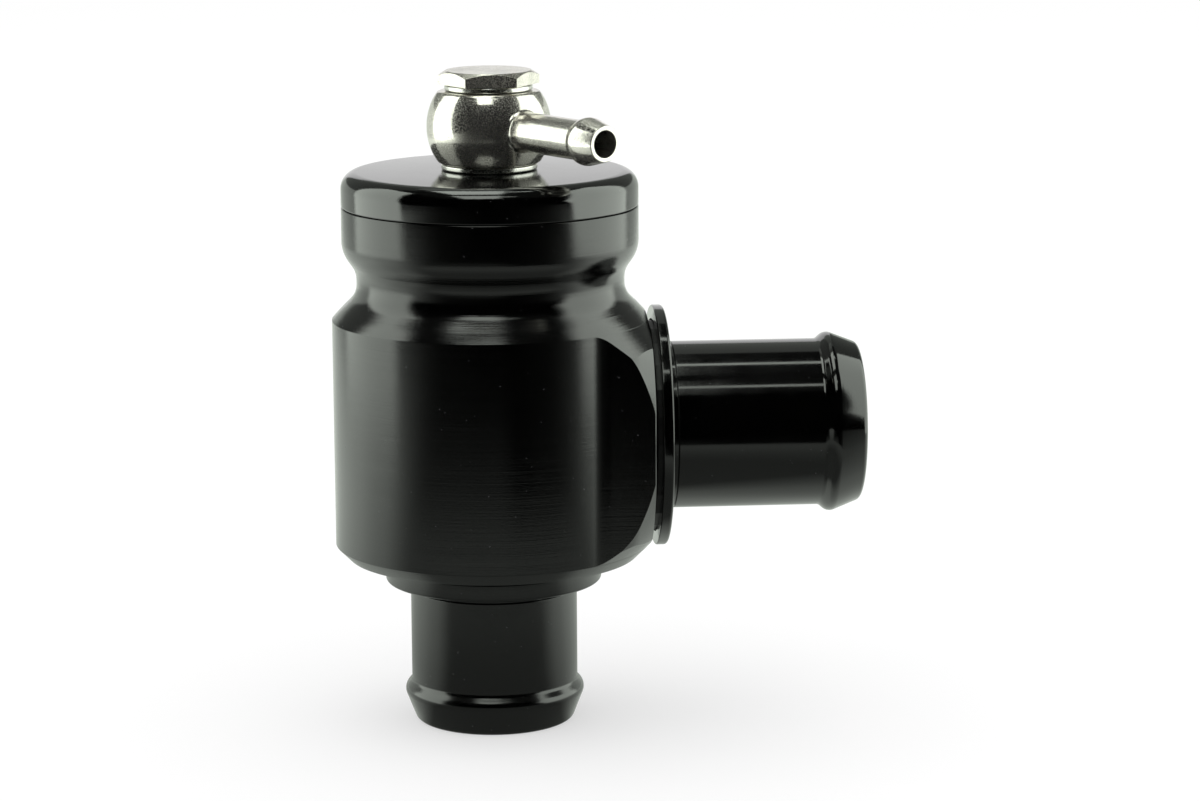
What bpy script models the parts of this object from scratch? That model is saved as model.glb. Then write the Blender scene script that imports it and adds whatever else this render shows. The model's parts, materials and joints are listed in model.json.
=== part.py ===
"""A piston diverter valve with 25 mm hose tails, as a Blender model in metres.

The valve's axis is vertical: the inlet tail points down and the valve stands on it. The outlet tail
points along +X, and the signal hose's nipple sits on a banjo fitting on top. The lengths below are in
millimetres. Heights are counted from the inlet tail's end, and the finished model is moved so that
its origin is the middle of its base.
"""

from math import asin, atan2, ceil, cos, hypot, pi, radians, sin, sqrt, tan

import bmesh
import bpy
from mathutils import Matrix, Vector

MM = 0.001

# clearances
FIT_GAP = 0.3
FACE_GAP = 0.1
RUNNING_GAP = 0.1

# roundness: sides of a full turn, and the turn of one step along a rounded corner
BODY_SIDES = 48
PORT_SIDES = 40
TAIL_SIDES = 36
SMALL_SIDES = 24
RING_SIDES = 6
CROSS_SIDES = 12
BALL_STEPS = 10
BLEND_STEPS = 4
ARC_STEP = radians(25)
FINE_ROUND = 0.45
NEARLY_STRAIGHT = radians(89)
ARC_SHARE = 0.49
SHARP_ANGLE = radians(30)
CUT_MARGIN = 5.0

# hose tails, both the same up to their flanges
TAIL_RADIUS = 12.5
TAIL_BORE = 10.0
TAIL_NOSE = 11.8
TAIL_NOSE_ROUND = 1.0
BEAD_RADIUS = 13.67
BEAD_FROM_END = 4.8
BEAD_FOOT = 6.15
BEAD_ROUND = 1.6
BEAD_FOOT_ROUND = 1.0
ROOT_GROOVE_DEPTH = 0.35
ROOT_GROOVE_WIDTH = 1.15
SPIGOT_RADIUS = 12.9
FLANGE_ROUND = 0.5

# inlet tail, from its end
INLET_FLANGE_RADIUS = 16.2
INLET_FLANGE_LOW = 21.45
INLET_FLANGE_THICK = 2.65
INLET_SLIT = 1.35
INLET_SEAL_RADIUS = 14.05
INLET_SEAL_DEPTH = 0.8

# outlet tail
OUTLET_REACH = 55.0
OUTLET_FLANGE_RADIUS = 18.0
OUTLET_FLANGE_THICK = 1.65
OUTLET_SLIT = 1.15
OUTLET_SEAL_RADIUS = 15.0
OUTLET_SEAL_DEPTH = 0.8
OUTLET_SPIGOT_LENGTH = 6.0

# body: its height above the inlet tail's end, and how far below its top the waist and the shoulder lie
BODY_RADIUS = 23.6
BODY_LOW_BEVEL = 1.8
BODY_TOP = 78.05
COLLAR_RADIUS = 22.0
COLLAR_ROUND = 4.8
COLLAR_DEPTH = 9.65
NECK_RADIUS = 19.87
NECK_TOP_ROUND = 3.8
NECK_LOW_ROUND = 3.6
FLARE_ANGLE = radians(35)
SHOULDER_DEPTH = 16.85
SHOULDER_ANGLE = radians(42.5)
EDGE_BREAK = 0.25

# side boss
PORT_BELOW_SHOULDER = 16.83
SEAT_FACE = 22.95
BOSS_HALF_WIDTH = 18.3
BOSS_BLEND = 2.7
PORT_FACE_RADIUS = 19.05
CONE_RELIEF = 0.03

# piston and its bore
BORE_RADIUS = 15.0
PISTON_TRAVEL = 9.0
PISTON_FLOOR = 3.2
PISTON_FLOOR_ROUND = 1.0
PISTON_WALL = 2.6
RING_GROOVE_DEPTH = 1.5
RING_GROOVE_WIDTH = 2.2
RING_PITCH = 5.0
TOP_LAND = 1.2
GUIDE_WIDTH = 2.0
GUIDE_DEPTH = 1.0
NOSE_SEAL_INNER = 9.6
NOSE_SEAL_OUTER = 12.9
NOSE_SEAL_DEPTH = 1.6
SEAT_LIP_RADIUS = 11.6
SEAT_LIP_DEPTH = 0.6
SPIGOT_IN_BODY = 5.3

# cap
CAP_THICK = 5.35
CAP_ROUND = 2.8
CAP_SEAM = 0.1
THREAD_RADIUS = 17.5
THREAD_LENGTH = 6.6
CAP_FLOOR = 5.1
CAP_POCKET_RADIUS = 12.9
CAP_SEAL_RADIUS = 19.6
CAP_SEAL_WIDTH = 2.2
CAP_SEAL_DEPTH = 1.6

# return spring
WIRE = 1.8
COIL_RADIUS = 10.2
ACTIVE_TURNS = 5.5
END_TURNS = 1.25
END_TURN_GAP = 0.2
GROUND_DEPTH = 0.5
STEPS_PER_TURN = 12
WIRE_SIDES = 6
SHIM_THICK = 0.8

# banjo bolt, eye and nipple
BOLT_RADIUS = 3.9
BOLT_BORE = 2.0
CROSS_HOLE = 1.2
HEX_ACROSS_FLATS = 13.0
HEX_HEIGHT = 2.0
HEX_TURN = radians(0.5)
HEX_TOP_RADIUS = 6.0
HEX_TOP_DROP = 0.7
WASHER_THICK = 0.75
UPPER_WASHER_RADIUS = 6.5
LOWER_WASHER_RADIUS = 7.1
BALL_RADIUS = 9.2
BALL_HEIGHT = 10.7
EYE_GROOVE_RADIUS = 5.8
EYE_GROOVE_HALF = 2.4
NIPPLE_AZIMUTH = radians(-57)
NIPPLE_REACH = 28.0
NIPPLE_RADIUS = 2.9
NIPPLE_BORE = 2.0
NIPPLE_TIP = 2.6
NIPPLE_TIP_ROUND = 0.15
BARB_RADIUS = 3.6
BARB_LENGTH = 5.5
BARB_CREST = 4.0
BARB_ROUND = 2.4

# heights and places that follow from the sizes above
BODY_BOTTOM = INLET_FLANGE_LOW + INLET_FLANGE_THICK + INLET_SLIT
NECK_TOP = BODY_TOP - COLLAR_DEPTH
SHOULDER_EDGE = BODY_TOP - SHOULDER_DEPTH
PORT_HEIGHT = SHOULDER_EDGE - PORT_BELOW_SHOULDER
CAP_SKIRT_END = BODY_TOP - THREAD_LENGTH
BORE_TOP = CAP_SKIRT_END - FIT_GAP
VALVE_SEAT = BODY_BOTTOM + SPIGOT_IN_BODY
PISTON_BOTTOM = VALVE_SEAT + FIT_GAP
PISTON_TOP = BORE_TOP - PISTON_TRAVEL
PISTON_RADIUS = BORE_RADIUS - RUNNING_GAP
PISTON_HOLLOW = PISTON_RADIUS - PISTON_WALL
CAP_BOTTOM = BODY_TOP + CAP_SEAM
CAP_TOP = BODY_TOP + CAP_THICK
POCKET_CEILING = CAP_TOP - CAP_FLOOR
SHIM_BOTTOM = PISTON_BOTTOM + PISTON_FLOOR + FACE_GAP
SPRING_BOTTOM = SHIM_BOTTOM + SHIM_THICK + FACE_GAP
SPRING_TOP = POCKET_CEILING - FACE_GAP
LOWER_WASHER_BOTTOM = CAP_TOP + FACE_GAP
BALL_BOTTOM = LOWER_WASHER_BOTTOM + WASHER_THICK + FACE_GAP
BALL_CENTRE = BALL_BOTTOM + BALL_HEIGHT / 2
BALL_TOP = BALL_BOTTOM + BALL_HEIGHT
UPPER_WASHER_BOTTOM = BALL_TOP + FACE_GAP
HEX_BOTTOM = UPPER_WASHER_BOTTOM + WASHER_THICK + FACE_GAP
HEX_TOP = HEX_BOTTOM + HEX_HEIGHT
BOLT_HOLE = BOLT_RADIUS + FIT_GAP
OUTLET_FLANGE_BACK = SEAT_FACE + OUTLET_SLIT
SPIGOT_HOLE = SPIGOT_RADIUS + FIT_GAP
NIPPLE_SIDE = NIPPLE_REACH * sin(-NIPPLE_AZIMUTH) + (NIPPLE_TIP - NIPPLE_TIP_ROUND / 2) * cos(NIPPLE_AZIMUTH)
MIDDLE_X = (OUTLET_REACH - BODY_RADIUS) / 2
MIDDLE_Y = (BODY_RADIUS - max(BODY_RADIUS, NIPPLE_SIDE)) / 2

BLACK = (0.012, 0.012, 0.013)
NICKEL = (0.62, 0.61, 0.58)
BRASS = (0.60, 0.42, 0.16)
STEEL = (0.45, 0.45, 0.46)
RUBBER = (0.010, 0.010, 0.010)
PTFE = (0.62, 0.60, 0.55)


def clear_scene():
    for obj in list(bpy.data.objects):
        bpy.data.objects.remove(obj, do_unlink=True)


def material(name, colour, roughness, metallic):
    made = bpy.data.materials.new(name)
    made.use_nodes = True
    shader = made.node_tree.nodes["Principled BSDF"]
    shader.inputs["Base Color"].default_value = (*colour, 1)
    shader.inputs["Roughness"].default_value = roughness
    shader.inputs["Metallic"].default_value = metallic
    made.diffuse_color = (*colour, 1)
    return made


def rounded(corners):
    """The outline through corners (across, up, rounding), with an arc at each corner that has a rounding."""
    points = []
    count = len(corners)
    for index, (across, up, rounding) in enumerate(corners):
        here = Vector((across, up))
        before = Vector(corners[index - 1][:2]) - here
        after = Vector(corners[(index + 1) % count][:2]) - here
        half = before.angle(after) / 2
        if rounding == 0 or half > NEARLY_STRAIGHT:
            points.append(here)
            continue
        back = min(rounding / tan(half), ARC_SHARE * before.length, ARC_SHARE * after.length)
        radius = back * tan(half)
        centre = here + (before.normalized() + after.normalized()).normalized() * radius / sin(half)
        start = here + before.normalized() * back - centre
        end = here + after.normalized() * back - centre
        sweep = start.angle_signed(end)
        steps = 1 if radius < FINE_ROUND else ceil(abs(sweep) / ARC_STEP)
        for step in range(steps + 1):
            turn = Matrix.Rotation(-sweep * step / steps, 2)
            points.append(centre + turn @ start)
    return points


def new_object(name, mesh, parent=None):
    obj = bpy.data.objects.new(name, mesh)
    bpy.context.scene.collection.objects.link(obj)
    obj.parent = parent
    return obj


def turned(name, outline, sides, parent=None):
    """A ring or solid of revolution about the object's Z axis. The outline runs down its outer side."""
    mesh = bpy.data.meshes.new(name)
    points = [(point[0] * MM, 0, point[1] * MM) for point in outline]
    pairs = [(index, (index + 1) % len(points)) for index in range(len(points))]
    edges = [pair for pair in pairs if points[pair[0]][0] > 0 or points[pair[1]][0] > 0]
    mesh.from_pydata(points, edges, [])
    obj = new_object(name, mesh, parent)
    screw = obj.modifiers.new("Turn", "SCREW")
    screw.axis = "Z"
    screw.steps = sides
    screw.render_steps = sides
    screw.use_merge_vertices = True
    screw.merge_threshold = 1e-6
    return obj


def extruded(name, outline, low, high):
    """A prism of the outline in plan, between two heights."""
    form = bmesh.new()
    foot = [form.verts.new((point[0] * MM, point[1] * MM, low * MM)) for point in outline]
    face = form.faces.new(foot)
    grown = bmesh.ops.extrude_face_region(form, geom=[face])["geom"]
    lifted = [item for item in grown if isinstance(item, bmesh.types.BMVert)]
    bmesh.ops.translate(form, vec=(0, 0, (high - low) * MM), verts=lifted)
    bmesh.ops.recalc_face_normals(form, faces=form.faces)
    mesh = bpy.data.meshes.new(name)
    form.to_mesh(mesh)
    form.free()
    return new_object(name, mesh)


def rod(name, radius, low, high, sides, parent=None):
    return turned(name, [(0, high), (radius, high), (radius, low), (0, low)], sides, parent)


def combine(obj, other, operation):
    """Adds a Boolean with the other object, which then serves as a tool only."""
    boolean = obj.modifiers.new(other.name, "BOOLEAN")
    boolean.operation = operation
    boolean.object = other
    boolean.solver = "EXACT"
    other.hide_render = True
    other.display_type = "WIRE"
    other.hide_set(True)


def finish(obj, look):
    """Makes the piece's modifiers real, removes their tools, shades it smooth and gives it its material."""
    bpy.context.view_layer.update()
    graph = bpy.context.evaluated_depsgraph_get()
    made = bpy.data.meshes.new_from_object(obj.evaluated_get(graph))
    tools = [modifier.object for modifier in obj.modifiers if modifier.type == "BOOLEAN"]
    obj.modifiers.clear()
    while tools:
        tool = tools.pop()
        tools += [modifier.object for modifier in tool.modifiers if modifier.type == "BOOLEAN"]
        bpy.data.objects.remove(tool, do_unlink=True)
    obj.data = made
    made.name = obj.name
    made.materials.clear()
    made.materials.append(look)
    made.shade_smooth()
    made.set_sharp_from_angle(angle=SHARP_ANGLE)


def empty(name, place, parent=None):
    obj = new_object(name, None, parent)
    obj.location = place
    return obj


def tail_outline(spigot, flange_low, flange_radius, flange_thick, rebate_radius, rebate_depth):
    """Outline of a hose tail: its spigot's corners, the flange with its seal rebate, the tube and the bead."""
    flange_top = flange_low + flange_thick
    groove_radius = TAIL_RADIUS - ROOT_GROOVE_DEPTH
    groove_low = flange_low - ROOT_GROOVE_WIDTH
    return rounded(
        [
            *spigot,
            (SPIGOT_RADIUS, flange_top - rebate_depth, 0),
            (rebate_radius, flange_top - rebate_depth, 0),
            (rebate_radius, flange_top, 0),
            (flange_radius, flange_top, EDGE_BREAK),
            (flange_radius, flange_low, FLANGE_ROUND),
            (groove_radius, flange_low, 0),
            (groove_radius, groove_low, 0),
            (TAIL_RADIUS, groove_low, 0),
            (TAIL_RADIUS, BEAD_FOOT, BEAD_FOOT_ROUND),
            (BEAD_RADIUS, BEAD_FROM_END, BEAD_ROUND),
            (TAIL_NOSE, 0, TAIL_NOSE_ROUND),
            (TAIL_BORE, 0, 0),
        ]
    )


def seal_ring(name, radius, centre, section, look, parent):
    """An O-ring of the given section diameter."""
    outline = []
    for step in range(RING_SIDES):
        angle = pi / RING_SIDES - 2 * pi * step / RING_SIDES
        outline.append((radius + section / 2 * cos(angle), centre + section / 2 * sin(angle)))
    ring = turned(name, outline, SMALL_SIDES, parent)
    finish(ring, look)
    return ring


def boss_plan():
    """The side boss from above: flat walls that blend tangentially into the round body."""
    blend_y = BOSS_HALF_WIDTH + BOSS_BLEND
    blend_x = sqrt((BODY_RADIUS + BOSS_BLEND) ** 2 - blend_y**2)
    meets = atan2(blend_y, blend_x)
    upper = []
    for step in range(BLEND_STEPS + 1):
        angle = -pi / 2 - (pi / 2 - meets) * step / BLEND_STEPS
        upper.append((blend_x + BOSS_BLEND * cos(angle), blend_y + BOSS_BLEND * sin(angle)))
    lower = [(x, -y) for x, y in reversed(upper)]
    inside = NECK_RADIUS / 2
    corner = SEAT_FACE - EDGE_BREAK
    nose = SEAT_FACE + CUT_MARGIN
    side = BOSS_HALF_WIDTH - EDGE_BREAK - CUT_MARGIN
    front = [(nose, -side), (nose, side), (corner, BOSS_HALF_WIDTH)]
    return [*front, *upper, (inside, inside), (inside, -inside), *lower, (corner, -BOSS_HALF_WIDTH)]


def make_boss(frame):
    """The boss before it is joined: the body's bevel and shoulder carry on across its corners."""
    reach = hypot(SEAT_FACE, BOSS_HALF_WIDTH) + CUT_MARGIN
    inside = (BODY_RADIUS + NECK_RADIUS) / 2
    edge = SHOULDER_EDGE - CONE_RELIEF
    bevel = BODY_BOTTOM + BODY_LOW_BEVEL - BODY_RADIUS + CONE_RELIEF
    outline = [
        (0, edge),
        (inside, edge + (BODY_RADIUS - inside) / tan(SHOULDER_ANGLE)),
        (reach, edge + (BODY_RADIUS - reach) / tan(SHOULDER_ANGLE)),
        (reach, bevel + reach),
        (BODY_RADIUS - BODY_LOW_BEVEL / 2, bevel + BODY_RADIUS - BODY_LOW_BEVEL / 2),
        (0, BODY_BOTTOM + BODY_LOW_BEVEL),
    ]
    boss = turned("boss_tool", outline, BODY_SIDES, frame)
    plan = extruded("plan_tool", boss_plan(), BODY_BOTTOM - CUT_MARGIN, BODY_TOP + CUT_MARGIN)
    plan.parent = frame
    combine(boss, plan, "INTERSECT")
    return boss


def make_port_limit(frame, port, neck_low):
    """What the cut about the port's axis leaves: a cone that trims the boss's corners, and all above it."""
    far = 2 * BODY_RADIUS
    outline = [
        (0, SEAT_FACE),
        (PORT_FACE_RADIUS - EDGE_BREAK, SEAT_FACE),
        (PORT_FACE_RADIUS, SEAT_FACE - EDGE_BREAK),
        (PORT_FACE_RADIUS + (far + SEAT_FACE) / tan(SHOULDER_ANGLE), -far),
        (0, -far),
    ]
    cone = turned("port_cone_tool", outline, PORT_SIDES, port)
    round_back = NECK_LOW_ROUND * tan(SHOULDER_ANGLE / 2)
    low = neck_low - round_back * cos(SHOULDER_ANGLE)
    above = rod("above_shoulder_tool", 2 * BODY_RADIUS, low, BODY_TOP + CUT_MARGIN, BODY_SIDES, frame)
    combine(cone, above, "UNION")
    return cone


def make_body(frame):
    """One machined block: turned outside, joined with its boss, cut to a cone at the port, and bored."""
    neck_low = SHOULDER_EDGE + (BODY_RADIUS - NECK_RADIUS) / tan(SHOULDER_ANGLE)
    collar_low = NECK_TOP + (COLLAR_RADIUS - NECK_RADIUS) / tan(FLARE_ANGLE)
    outline = rounded(
        [
            (0, BODY_TOP, 0),
            (COLLAR_RADIUS, BODY_TOP, EDGE_BREAK),
            (COLLAR_RADIUS, collar_low, COLLAR_ROUND),
            (NECK_RADIUS, NECK_TOP, NECK_TOP_ROUND),
            (NECK_RADIUS, neck_low, NECK_LOW_ROUND),
            (BODY_RADIUS, SHOULDER_EDGE, 0),
            (BODY_RADIUS, BODY_BOTTOM + BODY_LOW_BEVEL, 0),
            (BODY_RADIUS - BODY_LOW_BEVEL, BODY_BOTTOM, 0),
            (0, BODY_BOTTOM, 0),
        ]
    )
    body = turned("valve_body", outline, BODY_SIDES, frame)
    combine(body, make_boss(frame), "UNION")

    port = empty("port_axis", (0, 0, PORT_HEIGHT * MM), frame)
    port.rotation_euler = (0, pi / 2, 0)
    combine(body, make_port_limit(frame, port, neck_low), "INTERSECT")

    bore_outline = [
        (0, BODY_TOP + CUT_MARGIN),
        (THREAD_RADIUS, BODY_TOP + CUT_MARGIN),
        (THREAD_RADIUS, BORE_TOP),
        (BORE_RADIUS, BORE_TOP),
        (BORE_RADIUS, VALVE_SEAT),
        (SPIGOT_HOLE, VALVE_SEAT),
        (SPIGOT_HOLE, BODY_BOTTOM - CUT_MARGIN),
        (0, BODY_BOTTOM - CUT_MARGIN),
    ]
    bore = turned("bore_tool", bore_outline, BODY_SIDES, frame)
    bore.rotation_euler.z = pi / BODY_SIDES
    combine(body, bore, "DIFFERENCE")

    hole_depth = OUTLET_SPIGOT_LENGTH + FIT_GAP
    hole_outline = [
        (0, SEAT_FACE + CUT_MARGIN),
        (SPIGOT_HOLE, SEAT_FACE + CUT_MARGIN),
        (SPIGOT_HOLE, SEAT_FACE - hole_depth),
        (TAIL_BORE, SEAT_FACE - hole_depth),
        (TAIL_BORE, 0),
        (0, 0),
    ]
    hole = turned("port_hole_tool", hole_outline, TAIL_SIDES, port)
    hole.rotation_euler.z = pi / TAIL_SIDES
    combine(body, hole, "DIFFERENCE")
    finish(body, material("valve_body", BLACK, 0.30, 0.6))


def make_inlet_tail(frame):
    """The tail that the valve stands on. Its spigot ends in the raised lip that the piston closes on."""
    spigot = [
        (TAIL_BORE, VALVE_SEAT, 0),
        (SEAT_LIP_RADIUS, VALVE_SEAT, 0),
        (SEAT_LIP_RADIUS, VALVE_SEAT - SEAT_LIP_DEPTH, 0),
        (SPIGOT_RADIUS, VALVE_SEAT - SEAT_LIP_DEPTH, 0),
    ]
    outline = tail_outline(
        spigot,
        INLET_FLANGE_LOW,
        INLET_FLANGE_RADIUS,
        INLET_FLANGE_THICK,
        INLET_SEAL_RADIUS + (INLET_SLIT + INLET_SEAL_DEPTH) / 2,
        INLET_SEAL_DEPTH,
    )
    tail = turned("inlet_hose_tail", outline, TAIL_SIDES, frame)
    finish(tail, material("inlet_hose_tail", BLACK, 0.22, 0.6))
    section = INLET_SLIT + INLET_SEAL_DEPTH - 2 * FACE_GAP
    centre = BODY_BOTTOM - FACE_GAP - section / 2
    look = material("inlet_tail_o_ring", RUBBER, 0.5, 0)
    seal_ring("inlet_tail_o_ring", INLET_SEAL_RADIUS, centre, section, look, frame)


def make_outlet_tail(frame):
    """The same tail on its side, drawn upward from its hose end and laid along X."""
    laid = empty("outlet_axis", (OUTLET_REACH * MM, 0, PORT_HEIGHT * MM), frame)
    laid.rotation_euler = (0, -pi / 2, 0)
    spigot_end = OUTLET_REACH - SEAT_FACE + OUTLET_SPIGOT_LENGTH
    outline = tail_outline(
        [(TAIL_BORE, spigot_end, 0), (SPIGOT_RADIUS, spigot_end, 0)],
        OUTLET_REACH - OUTLET_FLANGE_BACK - OUTLET_FLANGE_THICK,
        OUTLET_FLANGE_RADIUS,
        OUTLET_FLANGE_THICK,
        OUTLET_SEAL_RADIUS + (OUTLET_SLIT + OUTLET_SEAL_DEPTH) / 2,
        OUTLET_SEAL_DEPTH,
    )
    tail = turned("outlet_hose_tail", outline, TAIL_SIDES, laid)
    finish(tail, material("outlet_hose_tail", BLACK, 0.22, 0.6))
    section = OUTLET_SLIT + OUTLET_SEAL_DEPTH - 2 * FACE_GAP
    centre = OUTLET_REACH - SEAT_FACE - FACE_GAP - section / 2
    look = material("outlet_tail_o_ring", RUBBER, 0.5, 0)
    seal_ring("outlet_tail_o_ring", OUTLET_SEAL_RADIUS, centre, section, look, laid)


def make_cap(frame):
    groove_in = CAP_SEAL_RADIUS - CAP_SEAL_WIDTH / 2
    groove_out = CAP_SEAL_RADIUS + CAP_SEAL_WIDTH / 2
    outline = rounded(
        [
            (BOLT_HOLE, CAP_TOP, 0),
            (COLLAR_RADIUS, CAP_TOP, CAP_ROUND),
            (COLLAR_RADIUS, CAP_BOTTOM, EDGE_BREAK),
            (groove_out, CAP_BOTTOM, 0),
            (groove_out, CAP_BOTTOM + CAP_SEAL_DEPTH, 0),
            (groove_in, CAP_BOTTOM + CAP_SEAL_DEPTH, 0),
            (groove_in, CAP_BOTTOM, 0),
            (THREAD_RADIUS - FIT_GAP, CAP_BOTTOM, 0),
            (THREAD_RADIUS - FIT_GAP, CAP_SKIRT_END, 0),
            (CAP_POCKET_RADIUS, CAP_SKIRT_END, 0),
            (CAP_POCKET_RADIUS, POCKET_CEILING, 0),
            (BOLT_HOLE, POCKET_CEILING, 0),
        ]
    )
    cap = turned("cap", outline, BODY_SIDES, frame)
    finish(cap, material("cap", BLACK, 0.20, 0.6))
    section = CAP_SEAL_DEPTH + CAP_SEAM - 2 * FACE_GAP
    centre = BODY_TOP + FACE_GAP + section / 2
    look = material("cap_o_ring", RUBBER, 0.5, 0)
    seal_ring("cap_o_ring", CAP_SEAL_RADIUS, centre, section, look, frame)


def ring_heights():
    """Heights on the piston of its upper ring, guide band and lower ring."""
    upper = PISTON_TOP - TOP_LAND - RING_GROOVE_WIDTH / 2
    return upper, upper - RING_PITCH / 2, upper - RING_PITCH


def groove(centre, width, depth):
    """Corners of a groove in the piston's side, from its upper edge down."""
    low = centre - width / 2
    high = centre + width / 2
    floor = PISTON_RADIUS - depth
    return [(PISTON_RADIUS, high, 0), (floor, high, 0), (floor, low, 0), (PISTON_RADIUS, low, 0)]


def make_piston(frame):
    """A cup that shuts the inlet: its empty sits on the axis and slides up it."""
    slide = empty("piston_slide", (0, 0, 0), frame)
    upper, middle, lower = ring_heights()
    inside_floor = PISTON_BOTTOM + PISTON_FLOOR
    outline = rounded(
        [
            (PISTON_HOLLOW, PISTON_TOP, 0),
            (PISTON_RADIUS, PISTON_TOP, 0),
            *groove(upper, RING_GROOVE_WIDTH, RING_GROOVE_DEPTH),
            *groove(middle, GUIDE_WIDTH, GUIDE_DEPTH),
            *groove(lower, RING_GROOVE_WIDTH, RING_GROOVE_DEPTH),
            (PISTON_RADIUS, PISTON_BOTTOM, EDGE_BREAK),
            (NOSE_SEAL_OUTER, PISTON_BOTTOM, 0),
            (NOSE_SEAL_OUTER, PISTON_BOTTOM + NOSE_SEAL_DEPTH, 0),
            (NOSE_SEAL_INNER, PISTON_BOTTOM + NOSE_SEAL_DEPTH, 0),
            (NOSE_SEAL_INNER, PISTON_BOTTOM, 0),
            (0, PISTON_BOTTOM, 0),
            (0, inside_floor, 0),
            (PISTON_HOLLOW, inside_floor, PISTON_FLOOR_ROUND),
        ]
    )
    piston = turned("piston", outline, TAIL_SIDES, slide)
    finish(piston, material("piston", BRASS, 0.35, 1))

    rubber = material("piston_rings", RUBBER, 0.5, 0)
    groove_floor = PISTON_RADIUS - RING_GROOVE_DEPTH
    ring_radius = (BORE_RADIUS + groove_floor) / 2
    section = BORE_RADIUS - groove_floor - 2 * FACE_GAP
    seal_ring("piston_upper_o_ring", ring_radius, upper, section, rubber, slide)
    seal_ring("piston_lower_o_ring", ring_radius, lower, section, rubber, slide)

    band_in = PISTON_RADIUS - GUIDE_DEPTH + FACE_GAP
    band_out = PISTON_RADIUS + RUNNING_GAP / 2
    band_high = middle + GUIDE_WIDTH / 2 - FACE_GAP
    band_low = middle - GUIDE_WIDTH / 2 + FACE_GAP
    band_outline = [(band_in, band_high), (band_out, band_high), (band_out, band_low), (band_in, band_low)]
    band = turned("piston_guide_ring", band_outline, TAIL_SIDES, slide)
    finish(band, material("piston_guide_ring", PTFE, 0.5, 0))

    seal_in = NOSE_SEAL_INNER + FACE_GAP
    seal_out = NOSE_SEAL_OUTER - FACE_GAP
    seal_high = PISTON_BOTTOM + NOSE_SEAL_DEPTH - FACE_GAP
    seal_low = PISTON_BOTTOM - FACE_GAP
    seal_outline = [(seal_in, seal_high), (seal_out, seal_high), (seal_out, seal_low), (seal_in, seal_low)]
    seal = turned("piston_nose_seal", seal_outline, TAIL_SIDES, slide)
    finish(seal, material("piston_nose_seal", RUBBER, 0.6, 0))

    shim_in = COIL_RADIUS - WIRE
    shim_out = PISTON_HOLLOW - PISTON_FLOOR_ROUND - FIT_GAP
    shim_high = SHIM_BOTTOM + SHIM_THICK
    shim_outline = [(shim_in, shim_high), (shim_out, shim_high), (shim_out, SHIM_BOTTOM), (shim_in, SHIM_BOTTOM)]
    shim = turned("preload_shim", shim_outline, TAIL_SIDES, slide)
    finish(shim, material("preload_shim", STEEL, 0.35, 1))


def coil_height(turn, turns, closed_pitch, open_pitch):
    """Height of the wire's middle above the first coil, with closed turns at both ends."""
    low = min(turn, END_TURNS)
    high = max(0, turn - (turns - END_TURNS))
    return closed_pitch * (low + high) + open_pitch * (turn - low - high)


def make_spring(frame):
    """A coil swept round a helix, with closed ends that are ground flat."""
    turns = ACTIVE_TURNS + 2 * END_TURNS
    closed_pitch = WIRE + END_TURN_GAP
    length = SPRING_TOP - SPRING_BOTTOM
    middle_length = length + 2 * GROUND_DEPTH - WIRE
    open_pitch = (middle_length - 2 * END_TURNS * closed_pitch) / ACTIVE_TURNS
    form = bmesh.new()
    steps = round(turns * STEPS_PER_TURN)
    hoops = []
    for step in range(steps + 1):
        turn = turns * step / steps
        angle = 2 * pi * turn
        height = SPRING_BOTTOM - GROUND_DEPTH + WIRE / 2 + coil_height(turn, turns, closed_pitch, open_pitch)
        hoop = []
        for side in range(WIRE_SIDES):
            around = 2 * pi * side / WIRE_SIDES
            radius = COIL_RADIUS + WIRE / 2 * cos(around)
            place = Vector((radius * cos(angle), radius * sin(angle), height + WIRE / 2 * sin(around)))
            hoop.append(form.verts.new(place * MM))
        hoops.append(hoop)
    for here, there in zip(hoops, hoops[1:]):
        for side in range(WIRE_SIDES):
            after = (side + 1) % WIRE_SIDES
            form.faces.new((here[side], here[after], there[after], there[side]))
    form.faces.new(hoops[0])
    form.faces.new(reversed(hoops[-1]))
    bmesh.ops.recalc_face_normals(form, faces=form.faces)
    mesh = bpy.data.meshes.new("return_spring")
    form.to_mesh(mesh)
    form.free()
    spring = new_object("return_spring", mesh, frame)
    ground = rod("grinding_tool", COIL_RADIUS + 2 * WIRE, SPRING_BOTTOM, SPRING_TOP, SMALL_SIDES, frame)
    combine(spring, ground, "INTERSECT")
    finish(spring, material("return_spring", STEEL, 0.3, 1))


def make_washer(name, radius, low, look, frame):
    high = low + WASHER_THICK
    outline = rounded(
        [
            (BOLT_HOLE, high, 0),
            (radius, high, EDGE_BREAK),
            (radius, low, EDGE_BREAK),
            (BOLT_HOLE, low, 0),
        ]
    )
    washer = turned(name, outline, TAIL_SIDES, frame)
    finish(washer, look)


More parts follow.
